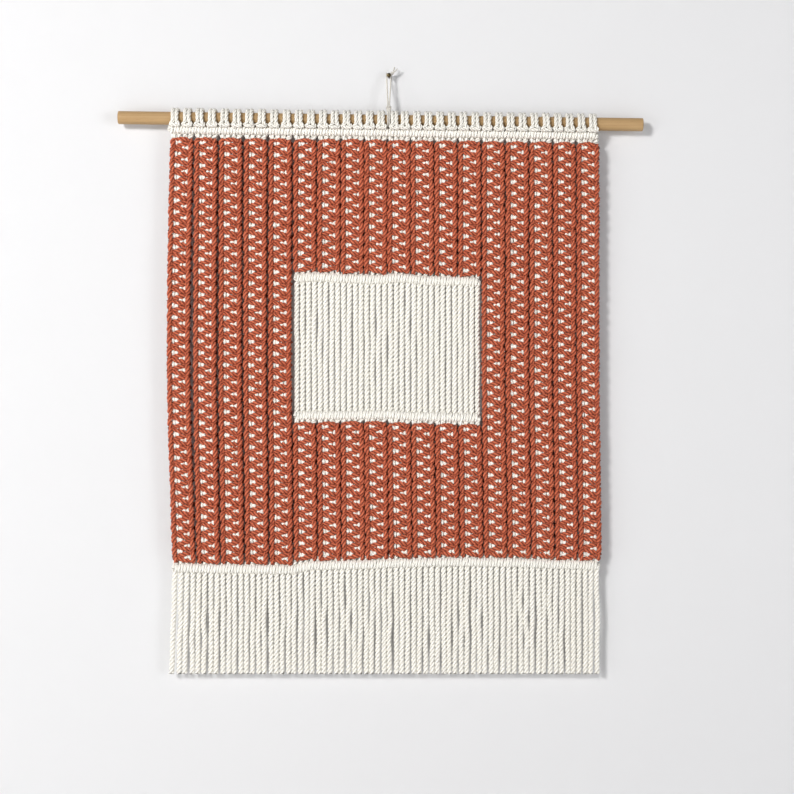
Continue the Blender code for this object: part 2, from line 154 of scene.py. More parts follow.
# Ends of both cords behind the last bar: the front cord's on the side where that bar ends, and the back
# cord's on the other side.
FRONT_CORD_END = (
    # outward, forward, down after the last bar's half, radius
    (0.0106, 0.0002, 0.410, 0.00205),
    (0.0075, -0.0040, 0.390, 0.00220),
    (0.0000, -0.0046, 0.370, 0.00220),
)
BACK_CORD_END = (
    # outward, forward, down after the last bar's half, radius
    (0.0103, 0.0030, 0.430, 0.00245),
    (0.0088, -0.0025, 0.410, 0.00230),
)
KNOT_PITCH = 0.0135  # usual height of a whole knot
# How far the cords hang to the right of the solids they replace, at places across the cloth.
CLOTH_LEAN = ((-0.26, 0.0016), (0.05, 0.0015), (0.18, 0.0005), (0.25, -0.0010))
LOOP_LEAN = (
    # across, to the right; the loops beside the hanging cord make room for it
    (-0.26, 0.0014),
    (-0.20, 0.0026),
    (-0.010, 0.0018),
    (0.006, 0.0007),
    (0.018, 0.0007),
    (0.030, 0.0019),
    (0.10, 0.0018),
    (0.25, 0.0006),
)
COLUMNS = 18
FIRST_WINDOW_COLUMN = 5  # columns are counted from 0
# Columns whose last bar ends on the left side, at the fringe and at the window.
LEFT_ENDING_AT_FRINGE = (5, 6, 7, 8, 16, 17)
LEFT_ENDING_AT_WINDOW = (5, 6, 7, 12)
LARKS_HEAD = (
    # left of the middle, forward, up from the dowel's axis; mirrored for the right half
    (0.0026, -0.0005, -0.0145),
    (0.0025, -0.0052, -0.0108),
    (0.0023, -0.0088, -0.0058),
    (0.0022, -0.0101, 0.0000),
    (0.0022, -0.0071, 0.0071),
    (0.0022, 0.0000, 0.0101),
    (0.0022, 0.0071, 0.0071),
    (0.0022, 0.0101, 0.0000),
    (0.0022, 0.0104, -0.0050),
    (0.0036, 0.0107, -0.0070),
    (0.0052, 0.0106, -0.0083),
    (0.0042, 0.0102, -0.0093),
    (0.0013, 0.0102, -0.0091),
)

# ---- Settings ------------------------------------------------------------------------------------------


def length_property(name, default, description):
    return FloatProperty(name=name, description=description, default=default, unit="LENGTH")


def share_property(name, default, description):
    return FloatProperty(name=name, description=description, default=default, subtype="FACTOR")


def power_property(name, default, description):
    return FloatProperty(name=name, description=description, default=default, unit="POWER")


def colour_property(name, default, description):
    return FloatVectorProperty(
        name=name, description=description, default=default, size=3, subtype="COLOR_GAMMA"
    )


class CordSettings(bpy.types.PropertyGroup):
    """Sizes of the twisted cotton cords."""

    lay: length_property("Lay", 0.0155, "Length of one full turn of the cord's three plies")
    bare_radius: length_property(
        "Bare strand radius", 0.0032, "Radius of the strands in the window and the fringe"
    )
    core_radius: length_property(
        "Core strand radius", 0.0027, "Radius of the four strands inside each column"
    )
    groove: share_property("Groove", 0.70, "Radius between two plies, as a share of the cord's radius")
    press: share_property("Press", 0.82, "Depth of a knotted cord, as a share of its width")
    ring_spacing: length_property(
        "Ring spacing", 0.0021, "Distance between two rings of the mesh along a cord that shows"
    )
    hidden_spacing: length_property(
        "Hidden ring spacing", 0.0046, "Distance between two rings along the back of the knots"
    )
    unevenness: length_property("Unevenness", 0.00022, "How far a knot's points stray from its table")
    seed: IntProperty(name="Seed", description="Start of the hand-made unevenness", default=5)


class ColourSettings(bpy.types.PropertyGroup):
    """Colours of the object, as seen on a screen."""

    rust: colour_property("Rust cotton", (0.875, 0.475, 0.335), "The working cords")
    cream: colour_property("Cream cotton", (0.988, 0.982, 0.965), "The bare strands and bars")
    thin: colour_property("Thin cotton", (0.985, 0.975, 0.95), "The hanging cord")
    beech: colour_property("Beech", (0.735, 0.615, 0.445), "The dowel")
    bronze: colour_property("Bronze", (0.40, 0.35, 0.25), "The nail")


class StageSettings(bpy.types.PropertyGroup):
    """Camera, backdrop and light."""

    view_width: length_property("View width", 0.9234, "Width of cloth that the square picture takes in")
    distance: length_property("Distance", 1.8, "From the camera to the cloth")
    middle_x: length_property("Aim across", 0.0095, "Middle of the picture")
    middle_z: length_property("Aim height", -0.3745, "Middle of the picture")
    floor_height: length_property("Floor", -0.90, "Height of the floor, under the nail")
    key_power: power_property("Key light", 68.0, "Strong soft light, upper left")
    fill_power: power_property("Fill light", 15.0, "Large soft light, lower left")
    side_power: power_property("Side light", 20.0, "Large soft light, right")
    back_power: power_property("Back light", 16.0, "Large soft light, behind")


# ---- Cords ---------------------------------------------------------------------------------------------

FIRST_NORMAL = (0.0, -1.0, 0.02)  # cross direction at the start of a path, towards the viewer
PAINTED_SHADE_DEPTH = 0.0037  # how far forward and back the painted shade in the middle of the cloth reaches
GRAIN_SCALE = 100  # units of the grain attribute for each metre of cord
GRAIN_SHIFT = 50  # random start of a cord's grain, in those units
# Added to the seed, so that each piece has strays of its own.
SEEDS = {"heading": 11, "window": 21, "fringe": 31, "hanging cord": 41}
STRAND_SEED = 500
UPPER_COLUMN_SEED = 100
LOWER_COLUMN_SEED = 200
KNOT_SEEDS = 1000  # from one seed's knots to the next


def smooth_curve(points, samples=6):
    """A smooth curve through a table's points; further columns, such as the radius, are carried along."""
    points = np.asarray(points, float)
    ends = np.vstack([2 * points[0] - points[1], points, 2 * points[-1] - points[-2]])
    before, start, end, after = ends[:-3, None], ends[1:-2, None], ends[2:-1, None], ends[3:, None]
    t = np.linspace(0, 1, samples, endpoint=False)[None, :, None]
    curve = (
        2 * start
        + (end - before) * t
        + (2 * before - 5 * start + 4 * end - after) * t**2
        + (3 * start - before - 3 * end + after) * t**3
    ) / 2
    return np.vstack([curve.reshape(-1, points.shape[1]), points[-1:]])


def spaced(curve, spacing):
    """The same curve with its points at a chosen spacing, one for the whole curve or one for each point."""
    spacing = np.broadcast_to(spacing, len(curve))
    steps = np.linalg.norm(np.diff(curve[:, :3], axis=0), axis=1)
    count = np.concatenate([[0], np.cumsum(2 * steps / (spacing[1:] + spacing[:-1]))])
    wanted = np.linspace(0, count[-1], max(3, round(count[-1]) + 1))
    return np.column_stack([np.interp(wanted, count, column) for column in curve.T])


def carried_frames(path):
    """Two cross directions at each point, carried along the path without twisting."""
    along = np.gradient(path, axis=0)
    along /= np.linalg.norm(along, axis=1)[:, None]
    normals = np.empty_like(path)
    normal = np.array(FIRST_NORMAL)
    for step, ahead in enumerate(along):
        normal = normal - ahead * (normal @ ahead)
        normal = normal / math.sqrt(normal @ normal)
        normals[step] = normal
    return normals, np.cross(along, normals)


def with_radius(points, radius):
    return np.column_stack([points, np.full(len(points), radius)])


class Skein:
    """Twisted three-ply cords that are gathered into one mesh."""

    def __init__(self, cords, seed=0, groove=None):
        self.lay = cords.lay
        self.spacing = cords.ring_spacing
        self.groove = groove or cords.groove
        self.random = np.random.default_rng(cords.seed + seed)
        self.points, self.faces, self.valleys, self.grain, self.tones = [], [], [], [], []
        self.count = 0

    def cord(self, path, spacing=None, samples=6, **looks):
        """One cord on a smooth curve through the rows of a table of x, y, z and radius."""
        self.add(spaced(smooth_curve(path, samples), spacing or self.spacing), **looks)

    def add(self, path, sides=9, plies=3, lay=None, press=1.0, depth=1.0, painted_shade=0.0):
        """One cord with a ring at each row of its path; its plies make a right-handed rope.

        A press under 1 flattens the cord against the cloth, as in a tight knot, and a depth under 1 makes
        the grooves between its plies shallower and their painted shade lighter.  Painted shade darkens its
        colour at the middle of the cloth's depth.
        """
        place, radius = path[:, :3], path[:, 3]
        normal, side = carried_frames(place)
        length = np.concatenate([[0], np.cumsum(np.linalg.norm(np.diff(place, axis=0), axis=1))])
        start = self.random.uniform(0, 2 * math.pi)
        turn = start + 2 * math.pi * length / (lay or self.lay)
        corner = np.arange(sides)
        # corners in the grooves between the plies: drawn further in, and marked for the material's painted
        # shade
        valley = (corner % (sides // plies) == 0).astype(float)
        around = 2 * math.pi * corner / sides
        angle = turn[:, None] + around[None, :]
        reach = radius[:, None] * (1 - (1 - self.groove) * depth * valley[None, :])
        offset = (reach * np.cos(angle))[..., None] * normal[:, None]
        offset += (reach * np.sin(angle))[..., None] * side[:, None]
        offset[..., 1] *= press
        ring = place[:, None] + offset
        rings = len(path)
        index = self.count + np.arange(rings * sides).reshape(rings, sides)
        after = np.roll(index, -1, axis=1)
        quads = np.stack([index[:-1], after[:-1], after[1:], index[1:]], axis=-1).reshape(-1, 4)
        self.faces.extend(quads.tolist())
        self.faces.append(index[0][::-1].tolist())
        self.faces.append(index[-1].tolist())
        self.points.append(ring.reshape(-1, 3))
        # painted shade: darker colour near the middle of the cloth's depth, where cords lie behind the
        # front bars
        middle = painted_shade * np.exp(-(((ring[..., 1] - HANG_Y) / PAINTED_SHADE_DEPTH) ** 2))
        self.valleys.append(np.maximum(valley * depth, middle).ravel())
        grain = np.empty((rings, sides, 3))
        grain[..., 0] = np.cos(around)[None, :]
        grain[..., 1] = np.sin(around)[None, :]
        grain[..., 2] = (length * GRAIN_SCALE + self.random.uniform(0, GRAIN_SHIFT))[:, None]
        self.grain.append(grain.reshape(-1, 3))
        self.tones.append(np.full(rings * sides, self.random.uniform(0, 1)))
        self.count += rings * sides

    def build(self, name, material, lean=((0.0, 0.0),)):
        """The cords as one piece, moved to the right as far as a table of places across it says."""
        points = np.concatenate(self.points)
        points[:, 0] += np.interp(points[:, 0], *zip(*lean))
        mesh = bpy.data.meshes.new(name)
        mesh.from_pydata(points.tolist(), [], self.faces)
        # valley: ply grooves for bumps and painted shade, with the painted shade of the cloth's middle;
        # tone: random per cord
        for label, kind, key, parts in (
            ("valley", "FLOAT", "value", self.valleys),
            ("grain", "FLOAT_VECTOR", "vector", self.grain),
            ("tone", "FLOAT", "value", self.tones),
        ):
            layer = mesh.attributes.new(label, kind, "POINT")
            layer.data.foreach_set(key, np.concatenate(parts).astype(np.float32).ravel())
        mesh.shade_smooth()
        mesh.materials.append(material)
        mesh.validate()
        return add_piece(name, mesh)


def add_piece(name, mesh):
    piece = bpy.data.objects.new(name, mesh)
    bpy.context.scene.collection.objects.link(piece)
    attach(piece, "root")
    return piece


def stands_for(piece, node):
    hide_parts(node)


# ---- Materials -----------------------------------------------------------------------------------------


def linear(colour):
    """A screen colour as the shader's own numbers."""
    return [c / 12.92 if c <= 0.04045 else ((c + 0.055) / 1.055) ** 2.4 for c in colour]


def tinted(colour, shares):
    """A colour with its red, green and blue scaled."""
    return [channel * share for channel, share in zip(colour, shares)]


class Finish:
    """A new material, with short ways to add its nodes and join them to its shader."""

    def __init__(self, name):
        self.material = bpy.data.materials.new(name)
        self.material.use_nodes = True
        self.nodes = self.material.node_tree.nodes
        self.links = self.material.node_tree.links
        self.shader = self.nodes["Principled BSDF"]

    def give(self, socket, value):
        """Join another node's output to a socket, or set the socket's own value."""
        if isinstance(value, bpy.types.NodeSocket):
            self.links.new(value, socket)
        elif socket.type == "RGBA":
            socket.default_value = (*value, 1)
        else:
            socket.default_value = value

    def add(self, kind, inputs=None, **settings):
        """A new node with its settings, and its inputs by their names or places."""
        made = self.nodes.new(kind)
        for key, value in settings.items():
            setattr(made, key, value)
        for key, value in (inputs or {}).items():
            self.give(made.inputs[key], value)
        return made

    def attribute(self, name, output="Fac"):
        return self.add("ShaderNodeAttribute", attribute_name=name).outputs[output]

    def place(self):
        return self.add("ShaderNodeTexCoord").outputs["Object"]

    def stretched(self, vector, scale, shift=(0.0, 0.0, 0.0)):
        inputs = {"Vector": vector, "Scale": scale, "Location": shift}
        return self.add("ShaderNodeMapping", inputs).outputs["Vector"]

    def noise(self, vector, scale, detail=2.0, roughness=0.5):
        inputs = {"Vector": vector, "Scale": scale, "Detail": detail, "Roughness": roughness}
        return self.add("ShaderNodeTexNoise", inputs).outputs["Fac"]

    def calculated(self, operation, *values):
        inputs = dict(enumerate(values))
        return self.add("ShaderNodeMath", inputs, operation=operation).outputs["Value"]

    def bumps(self, height, distance, strength):
        inputs = {"Height": height, "Distance": distance, "Strength": strength}
        return self.add("ShaderNodeBump", inputs).outputs["Normal"]

    def stained_or_shaded(self, base, stain, mask, share=1.0):
        """A base colour with another over it where a mask is 1, by a share; own colours and painted shade
        alike.
        """
        mix = self.add("ShaderNodeMix", data_type="RGBA")
        sockets = {socket.identifier: socket for socket in (*mix.inputs, *mix.outputs)}
        self.give(sockets["Factor_Float"], self.calculated("MULTIPLY", mask, share))
        self.give(sockets["A_Color"], base)
        self.give(sockets["B_Color"], stain)
        return sockets["Result_Color"]

    def surface(self, values):
        """The finished material, with its shader's inputs by name."""
        for name, value in values.items():
            self.give(self.shader.inputs[name], value)
        return self.material


# Red, green and blue of each cotton's duller patches, and of its darker fibres and painted groove shade, as
# shares of its colour.
COTTON_TINTS = {
    "rust": ((0.93, 0.86, 0.82), (0.44, 0.18, 0.11)),
    "cream": ((0.99, 0.985, 0.965), (0.92, 0.905, 0.87)),
    "thin": ((0.95, 0.95, 0.95), (0.86, 0.83, 0.78)),
}


def cotton(kind):
    """Twisted cotton: painted shade between the plies and deep in the knots, fine fibres along them and a
    soft sheen.
    """
    name = f"twisted_{kind}_cotton"
    if name in bpy.data.materials:
        return bpy.data.materials[name]
    colour = getattr(bpy.context.scene.hanging_colours, kind)
    dull, fibre_and_groove_shade = [linear(tinted(colour, shares)) for shares in COTTON_TINTS[kind]]
    finish = Finish(name)
    valley = finish.attribute("valley")
    along = finish.stretched(finish.attribute("grain", "Vector"), scale=(1.0, 1.0, 0.45))
    fibre = finish.noise(along, scale=7.0, detail=3.0)
    base = finish.stained_or_shaded(linear(colour), dull, finish.attribute("tone"), share=0.4)
    base = finish.stained_or_shaded(base, dull, finish.noise(finish.place(), scale=60.0), share=0.6)
    base = finish.stained_or_shaded(base, fibre_and_groove_shade, fibre, share=0.25)
    # painted shade: the darker colour in the ply grooves and in the middle of the knotted cloth's depth
    base = finish.stained_or_shaded(base, fibre_and_groove_shade, valley, share=0.88)
    groove = finish.calculated("MULTIPLY", finish.calculated("POWER", valley, 2.0), -1.0)
    height = finish.calculated("ADD", groove, finish.calculated("MULTIPLY", fibre, 0.3))
    return finish.surface(
        {
            "Base Color": base,
            "Normal": finish.bumps(height, distance=0.0007, strength=1.0),
            "Roughness": 0.7,
            "Specular IOR Level": 0.3,
            "Sheen Weight": 0.05,
            "Sheen Roughness": 0.5,
        }
    )


def planed_beech(colour):
    """Beech with growth rings cut lengthwise, long fine grain, darker flecks and arcs on the sawn ends."""
    finish = Finish("beech")
    place = finish.place()
    growth = {
        "Vector": finish.stretched(place, scale=(7.0, 190.0, 190.0), shift=(0.0, -2.0, 6.0)),
        "Scale": 1.0,
        "Distortion": 3.5,
        "Detail": 2.0,
        "Detail Scale": 0.8,
    }
    rings = finish.add("ShaderNodeTexWave", growth, wave_type="RINGS", rings_direction="X").outputs["Fac"]
    lengthwise = finish.stretched(place, scale=(9.0, 520.0, 520.0))
    grain = finish.noise(lengthwise, scale=1.0, detail=5.0, roughness=0.6)
    fleck = finish.noise(finish.stretched(place, scale=(90.0, 1400.0, 1400.0)), scale=1.0)
    light = linear(colour)
    middle, dark = tinted(light, (0.86, 0.82, 0.76)), tinted(light, (0.62, 0.52, 0.42))
    base = finish.stained_or_shaded(light, middle, rings, share=0.75)
    base = finish.stained_or_shaded(base, dark, grain, share=0.55)
    base = finish.stained_or_shaded(base, dark, finish.calculated("GREATER_THAN", fleck, 0.66), share=0.4)
    normal = finish.bumps(grain, distance=0.0002, strength=0.5)
    return finish.surface(
        {"Base Color": base, "Normal": normal, "Roughness": 0.6, "Specular IOR Level": 0.3}
    )


def worn_bronze(colour):
    """Old bronze: metal with soft dull patches."""
    finish = Finish("worn_bronze")
    patch = finish.noise(finish.place(), scale=900.0)
    light = linear(colour)
    base = finish.stained_or_shaded(light, tinted(light, (0.5, 0.5, 0.5)), patch)
    roughness = finish.calculated("MULTIPLY_ADD", patch, 0.3, 0.25)
    return finish.surface({"Base Color": base, "Roughness": roughness, "Metallic": 1.0})


# ---- Columns of square knots ---------------------------------------------------------------------------

KNOT_PAINTED_SHADE = 0.9  # painted shade of knotted cord in the middle of the cloth's depth, as a share of a groove's darkness
KNOT_SAMPLES = 4  # points of the smooth curve for each row of a knot's table
BEHIND = 0.0015  # cord that lies further back than this can't be seen from the front
FORWARD_STRAY = 0.6  # strays in depth, as a share of those across and down
POINT_STRAY = 0.3  # strays of single points, as a share of those of half knots
RADIUS_STRAY = 0.02
STRAND_STEPS = (-1.5, -0.5, 0.5, 1.5)  # places of a column's four strands, in their spacing
CORE_SPACING = 0.0044  # between two strands
CORE_FORWARD = 0.0020  # of the strands between two swells
CORE_ARCH = 0.0004  # further back for each strand away from the middle
CORE_BULGE = 0.0030  # how far a strand swells forward between two bars
CORE_STRAY = 0.00018
CORE_STEP = 0.25  # knots between two rings of a strand inside a column
CORE_SIDES = 4  # simpler strands than the others, because little of them shows
CORE_PLIES = 2
CORE_GROOVE = 0.84
CORE_DEPTH = 0.5
# Where the strands leave a bar: forward, and down from the bar's middle line.
BAR_EXIT = ((0.0, 0.0), (0.0002, 0.0045), (0.0024, 0.0066), (0.0012, 0.0092))
BAR_EXIT_RADIUS = 0.0030
BAR_ENTRY = ((0.0016, 0.0075), (0.0, 0.0030))  # forward, and up from the next bar's middle line


def column_line(node_name):
    """Heights and middles of a column from the rings of its solid, top first."""
    points = corners_of(node_name)
    levels = np.unique(np.round(points[:, 2], 5))
    levels = levels[first_of_each(levels, SAME_RING)]
    at = [points[np.abs(points[:, 2] - level) < SAME_CORNER, 0] for level in levels]
    across = np.array([(xs.min() + xs.max()) / 2 for xs in at])
    return levels[::-1], across[::-1]


def knot_rows(table, number, flip=1):
    """A knot table moved down by whole or half knots, and mirrored when flip is -1."""
    rows = np.array(table)
    rows[:, 0] *= flip
    rows[:, 2] += number
    return rows


def last_side(bars):
    """The side where a column's last bar ends: 1 for the right, -1 for the left."""
    return 1 if bars % 2 else -1


def front_cord_rows(bars):
    """From behind the first bar, to and fro across the front, and behind again."""
    to_the_right = np.array(FRONT_CORD)
    to_the_left = to_the_right[-2:0:-1] * (1, 1, -1, 1) + (0, 0, 1, 0)
    knot = np.vstack([to_the_right, to_the_left])
    knots = np.vstack([knot_rows(knot, number) for number in range((bars + 1) // 2)])
    end = knot_rows(FRONT_CORD_END, (bars - 1) / 2, last_side(bars))
    return np.vstack([FIRST_BAR, knots[BAR_ROWS : bars * BAR_ROWS - 1], end])


def back_cord_rows(bars):
    """Down the two sides by turns and across the back, from the first bar's right end to the last bar."""
    rows = []
    for half in range(-1, bars):
        part = knot_rows(BACK_CORD, half / 2, 1 if half % 2 else -1)
        if half == -1:
            part = part[BACK_CORD_START:]
        if half == bars - 1:
            end = knot_rows(BACK_CORD_END, half / 2, -last_side(bars))
            part = np.vstack([part[:BACK_CORD_LAST], end])
        rows.append(part)
    rows = np.vstack(rows)
    top = np.clip(rows[:, 2] / 0.5, 0, 1)
    rows[:, 0] *= SHOULDER_WIDTH + (1 - SHOULDER_WIDTH) * top
    rows[:, 2] = np.where(rows[:, 2] < 0.5, SHOULDER + (0.5 - SHOULDER) * top, rows[:, 2])
    return rows


def uneven(rows, bars, pitch, random, size):
    """Small strays of each half knot and smaller ones of each point, as of hand work."""
    rows = rows.copy()
    halves = np.arange(-1, bars + 3) / 2
    stray = random.normal(0, size, (3, len(halves)))
    for column, scale in enumerate((1.0, FORWARD_STRAY, 1.0 / pitch)):
        rows[:, column] += np.interp(rows[:, 2], halves, stray[column]) * scale
        rows[:, column] += random.normal(0, size * POINT_STRAY, len(rows)) * scale
    rows[:, 3] *= random.normal(1, RADIUS_STRAY, len(rows))
    return rows


def hung_path(rows, top, pitch, heights, across):
    """Places in the frame for rows that are counted in knots down a column."""
    z = top - rows[:, 2] * pitch
    x = np.interp(z, heights[::-1], across[::-1]) + rows[:, 0]
    return np.column_stack([x, HANG_Y - rows[:, 1], z, rows[:, 3]])


def bars_between(top, bottom, ends_left):
    """How many bars fit a column at the usual pitch, odd where the last one ends on the right."""
    halves = ((top - bottom) / KNOT_PITCH - FIRST_BAR_SPACE) * 2 + 1
    odd = 0 if ends_left else 1
    return 2 * round((halves - odd) / 2) + odd


def core_strands(cords, heights, across, pitch, random):
    """The four strands inside a column, which swell forward in the openings between the bars."""
    top, bottom = heights[0], heights[-1]
    down = np.arange(CORE_STEP, (top - bottom) / pitch, CORE_STEP)
    z = top - down * pitch
    middle = np.interp(z, heights[::-1], across[::-1])
    paths = []
    for step in STRAND_STEPS:
        opening = 0.5 if step < 0 else 0.0
        swell = np.clip(np.cos(2 * math.pi * (down - opening)), 0, None)
        forward = CORE_FORWARD - CORE_ARCH * abs(step) + CORE_BULGE * swell
        stray = random.normal(0, CORE_STRAY, (2, len(down)))
        x = middle + step * CORE_SPACING + stray[0]
        paths.append(with_radius(np.column_stack([x, HANG_Y - forward + stray[1], z]), cords.core_radius))
    return paths


def strand_ends(cords, paths, above, below):
    """Short lengths that join the strands of a column to the bars above and below it."""
    joints = []
    for path, (upper_x, upper_z), (lower_x, lower_z) in zip(paths, above, below):
        drawn_in = (upper_x + path[0, 0]) / 2
        out = [(upper_x, HANG_Y - ahead, upper_z - fall, BAR_EXIT_RADIUS) for ahead, fall in BAR_EXIT]
        out[-1] = (drawn_in, *out[-1][1:])
        joints.append(out + [tuple(path[1])])
        enter = [(lower_x, HANG_Y - ahead, lower_z + rise, cords.core_radius) for ahead, rise in BAR_ENTRY]
        joints.append([tuple(path[-2])] + enter)
    return joints


def column_piece(node_name, strands_above, strands_below, ends_left, number):
    """One column: four cream strands, and two rust cords tied round them in square knots."""
    cords = bpy.context.scene.hanging_cords
    heights, across = column_line(node_name)
    top, bottom = heights[0], heights[-1]
    bars = bars_between(top, bottom, ends_left)
    pitch = (top - bottom) / ((bars - 1) / 2 + FIRST_BAR_SPACE)
    random = np.random.default_rng(cords.seed * KNOT_SEEDS + number)
    skein = Skein(cords, number)
    for rows in (front_cord_rows(bars), back_cord_rows(bars)):
        rows = uneven(rows, bars, pitch, random, cords.unevenness)
        curve = smooth_curve(hung_path(rows, top, pitch, heights, across), KNOT_SAMPLES)
        behind = curve[:, 1] > HANG_Y + BEHIND
        spacing = np.where(behind, cords.hidden_spacing, cords.ring_spacing)
        skein.add(spaced(curve, spacing), press=cords.press, painted_shade=KNOT_PAINTED_SHADE)
    label = node_name.removeprefix("sennit_")
    rust = skein.build("knots_" + label, cotton("rust"), CLOTH_LEAN)
    stands_for(rust, node_name)
    core = Skein(cords, number + STRAND_SEED, CORE_GROOVE)
    paths = core_strands(cords, heights, across, pitch, random)
    for path in paths:
        core.add(path, sides=CORE_SIDES, plies=CORE_PLIES, depth=CORE_DEPTH)
    for path in strand_ends(cords, paths, strands_above, strands_below):
        core.cord(path, samples=KNOT_SAMPLES)
    cream = core.build("core_" + label, cotton("cream"), CLOTH_LEAN)


# ---- Bars of hitches and bare strands ------------------------------------------------------------------

BAR_BACK = 0.004  # a bar's back corners lie further behind the cloth's middle than this
BAR_HALF_HEIGHT = 0.0060
BAR_HALF_DEPTH = 0.0070
HEADING_HALF_HEIGHT = 0.0056
HEADING_LIFT = 0.0016  # the hitches of the first bar are pushed up against the lark's heads
HEADING_FORWARD = 0.0022
HEADING_SPREAD = 0.0069  # between a column's strands where they leave the first bar
HITCH_TURNS = 2  # turns of a double half hitch, for each strand
LOOP_RADIUS = 0.00255  # of the cords over the dowel
LOOP_STRAY = 0.00018
LOOP_SAMPLES = 5
LOOP_CLEAR = 0.002  # over the dowel's axis, where only the loops have corners
WRAP_RADIUS = 0.00185  # of the hitches' cord
WRAP_LAY = 0.026
WRAP_DEPTH = 0.7
WRAP_STRAY = 0.00016
WRAP_SPACING = 1.25  # of the rings, in those of other cords
WRAP_ROWS = 8  # for each turn
WRAP_SAMPLES = 4
SQUARENESS = 0.65  # of a bar's section: 1 is round
HOLDING_RADIUS = 0.0043  # of the cord that the hitches go round
HOLDING_FORWARD = 0.001
HOLDING_LAY = 0.02
HOLDING_ROWS = 40
HOLDING_TAPER = 0.55  # of that radius, at the cord's ends
STUB = 0.0022  # how far the holding cord's ends stand out of a bar
STRAND_ROWS = 7
STRAND_IN_BAR = 0.003  # from a bar's middle line to a bare strand's end, inside the bar
NECK_DEPTH = 0.0024  # a strand's solid has its corners within this depth, and a bar's solid hasn't
NECK_DROP = 0.002  # under a bar
FRINGE_END_DEPTH = 0.001  # corners this close to the lowest ones are at the strands' ends
FRINGE_ROOT_RISE = 0.01  # the strands' other corners are higher up than this
FRINGE_BAR_RISE = 0.05  # and the bar's corners higher than this


def bar_line(node_name, low, high):
    """Middle line of a bar between two heights, from the back corners of its solid."""
    points = corners_of(node_name)
    back = points[(points[:, 1] > HANG_Y + BAR_BACK) & (points[:, 2] > low) & (points[:, 2] < high)]
    back = back[np.argsort(back[:, 0])]
    keep = first_of_each(back[:, 0], SAME_RING)
    return back[keep, 0], back[keep, 2]


def boxy(value):
    """A sine or cosine pushed towards 1, which makes a round section squarer."""
    return np.sign(value) * np.abs(value) ** SQUARENESS


def hitched_bar(skein, line, wraps, half_height, forward=0.0):
    """Hitches side by side round a bar's holding cord, whose ends show as small stubs."""
    first_x, last_x = line[0][0] + WRAP_RADIUS, line[0][-1] - WRAP_RADIUS
    turns = np.arange(wraps * WRAP_ROWS + 1) / WRAP_ROWS
    x = first_x + (last_x - first_x) * turns / wraps
    stray = skein.random.normal(0, WRAP_STRAY, (3, len(turns)))
    angle = 2 * math.pi * turns
    reach_up, reach_out = half_height - WRAP_RADIUS, BAR_HALF_DEPTH - WRAP_RADIUS
    z = np.interp(x, *line) + reach_up * boxy(np.sin(angle)) + stray[0]
    y = HANG_Y - forward - reach_out * boxy(np.cos(angle)) + stray[1]
    path = with_radius(np.column_stack([x + stray[2], y, z]), WRAP_RADIUS)
    skein.cord(path, skein.spacing * WRAP_SPACING, WRAP_SAMPLES, lay=WRAP_LAY, depth=WRAP_DEPTH)
    x = np.linspace(first_x - STUB, last_x + STUB, HOLDING_ROWS)
    y = np.full(HOLDING_ROWS, HANG_Y - forward - HOLDING_FORWARD)
    path = with_radius(np.column_stack([x, y, np.interp(x, *line)]), HOLDING_RADIUS)
    path[[0, -1], 3] *= HOLDING_TAPER
    skein.cord(path, samples=WRAP_SAMPLES, lay=HOLDING_LAY)


def bare_strand(skein, top, bottom, radius, sag):
    """A strand between two points, with the slight waves of a cord that was once knotted."""
    top, bottom = np.asarray(top, float), np.asarray(bottom, float)
    shares = np.linspace(0, 1, STRAND_ROWS)
    wave = skein.random.normal(0, sag, (len(shares), 3)) * np.sin(math.pi * shares)[:, None]
    wave *= (1, FORWARD_STRAY, 0)
    skein.cord(with_radius(top + (bottom - top) * shares[:, None] + wave, radius))


def strand_roots(points, line, lowest):
    """Middles of the strands' solids between a bar and a height below it."""
    neck = (np.abs(points[:, 1] - HANG_Y) < NECK_DEPTH) & (points[:, 2] > lowest)
    neck &= points[:, 2] < np.interp(points[:, 0], *line) - BAR_HALF_HEIGHT - NECK_DROP
    return middles(points[neck, 0], 2)


def fringe_strands():
    """Roots and ends of the fringe's strands, from their solids."""
    points = corners_of("fringe")
    end_z = points[:, 2].min()
    ends = middles(points[points[:, 2] < end_z + FRINGE_END_DEPTH, 0], 2)
    line = bar_line("fringe", end_z + FRINGE_BAR_RISE, 0)
    return strand_roots(points, line, end_z + FRINGE_ROOT_RISE), ends, end_z, line


def window_strands():
    """Places of the window's strands, and the middle lines of the bars above and below them."""
    points = corners_of("window")
    low, high = points[:, 2].min(), points[:, 2].max()
    middle = (low + high) / 2
    upper, lower = bar_line("window", middle, high), bar_line("window", low, middle)
    return strand_roots(points, upper, middle), upper, lower


def heading_loops():
    """Middles of the lark's heads, from the sides of their solids above the dowel's axis."""
    points = corners_of("heading")
    above = points[:, 2] > dowel_height(points[:, 0]) + LOOP_CLEAR
    return middles(points[above, 0], 2)


def heading_line():
    """Middle line of the first bar, parallel to the dowel."""
    points = corners_of("heading")
    ends = np.array([points[:, 0].min(), points[:, 0].max()])
    under = points[np.argmin(points[:, 2] - dowel_height(points[:, 0]))]
    drop = dowel_height(under[0]) - under[2] - HEADING_HALF_HEIGHT
    return ends, dowel_height(ends) - drop + HEADING_LIFT


# ---- Hanging cord --------------------------------------------------------------------------------------

THIN_RADIUS = 0.00105
THIN_LAY = 0.0058
THIN_SPACING = 0.0009
NAIL_RADIUS = 0.0012
THIN_CLEARANCE = 0.0004
THIN_MIDDLE_X = -0.0002
THIN_OFFSET = 0.0010  # of each half from the middle
THIN_NAIL_Y = -0.0085
OVER_NAIL = (0, 45, 90)  # degrees from the nail's top
ROUND_DOWEL = range(35, -236, -30)  # degrees from the dowel's front
HITCH_Y = -0.0185
HITCH_RISE = 0.0152  # of the hitch over the dowel's axis
HITCH_STRAIGHT = 0.0060
